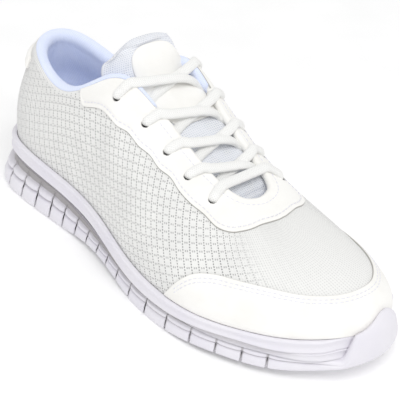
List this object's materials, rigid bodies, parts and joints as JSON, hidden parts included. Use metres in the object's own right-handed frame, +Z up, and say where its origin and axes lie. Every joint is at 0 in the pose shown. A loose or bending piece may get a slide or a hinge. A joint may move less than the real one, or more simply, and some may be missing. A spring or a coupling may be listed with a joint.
{
  "type": "sneaker",
  "caption": "Low lace-up running sneaker for the right foot: mesh upper with suede-look overlays, padded collar and tongue, and a foam sole cut into flexible blocks.",
  "frame": {"origin": "on the floor under the middle of the heel seat, in the flat underside of a heel block", "axes": "+X towards the toe, +Y towards the inner (medial) side of the foot, +Z up from the floor"},
  "size_m": [0.2888, 0.1116, 0.1258],
  "materials": {
    "tread_rubber": "satin moulded white sole foam",
    "midsole_foam": "satin moulded white foam",
    "sock_liner": "brushed light blue knit",
    "mesh_upper": "matte perforated mesh",
    "overlay_suede": "matte white synthetic suede",
    "collar_lining": "fine light blue twill",
    "tongue_mesh": "padded mesh",
    "lace_cord": "woven oval cord"
  },
  "bodies": {
    "root": {"outsole": "tread_rubber", "midsole": "midsole_foam", "insole": "sock_liner", "upper": "mesh_upper", "tongue": "tongue_mesh", "lace_cross_1": "lace_cord", "lace_cross_2": "lace_cord", "lace_cross_3": "lace_cord", "lace_cross_4": "lace_cord", "lace_bar": "lace_cord"}
  },
  "joints": []
}
